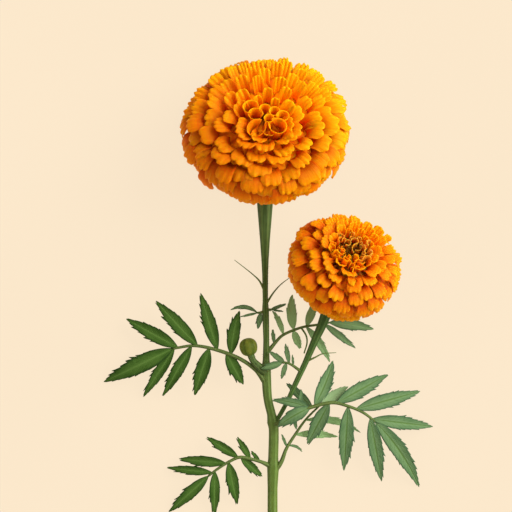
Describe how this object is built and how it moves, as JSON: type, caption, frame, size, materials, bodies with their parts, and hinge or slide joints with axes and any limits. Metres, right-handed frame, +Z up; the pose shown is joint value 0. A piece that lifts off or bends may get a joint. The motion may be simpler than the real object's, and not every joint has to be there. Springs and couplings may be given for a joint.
{
  "type": "marigold flower",
  "caption": "Cut marigold lying on its stem: a large double bloom, a smaller one on a side stem, a bud and feathered leaves.",
  "frame": {"origin": "on the surface it lies on, under the middle of its length and width", "axes": "+Y from the cut end of the stem to the large bloom, +Z up from the surface"},
  "size_m": [0.1662, 0.2362, 0.063],
  "materials": {
    "petal_gold": "soft matt petal, golden lip and deep orange throat",
    "petal_orange": "soft matt petal, orange lip and rust throat",
    "stem_green": "ribbed green stem with a faint waxy sheen",
    "calyx_green": "ribbed green cup, satin",
    "bud_green": "dark green bud, satin",
    "leaf_green": "matt green leaf with a paler midrib"
  },
  "bodies": {
    "root": {"main_stem": "stem_green", "side_stem": "stem_green", "calyx_large": "calyx_green", "bloom_large": "petal_gold", "calyx_small": "calyx_green", "bloom_small": "petal_orange", "bud": "bud_green", "leaf_left_upper": "leaf_green", "leaf_right_upper": "leaf_green", "leaf_small_middle": "leaf_green", "leaf_right_lower": "leaf_green", "shoot_right_low": "leaf_green", "leaf_left_lower": "leaf_green", "leaf_small_left": "leaf_green", "leaf_small_right": "leaf_green", "thread_left": "leaf_green", "thread_right": "leaf_green", "thread_side": "leaf_green"}
  },
  "joints": []
}
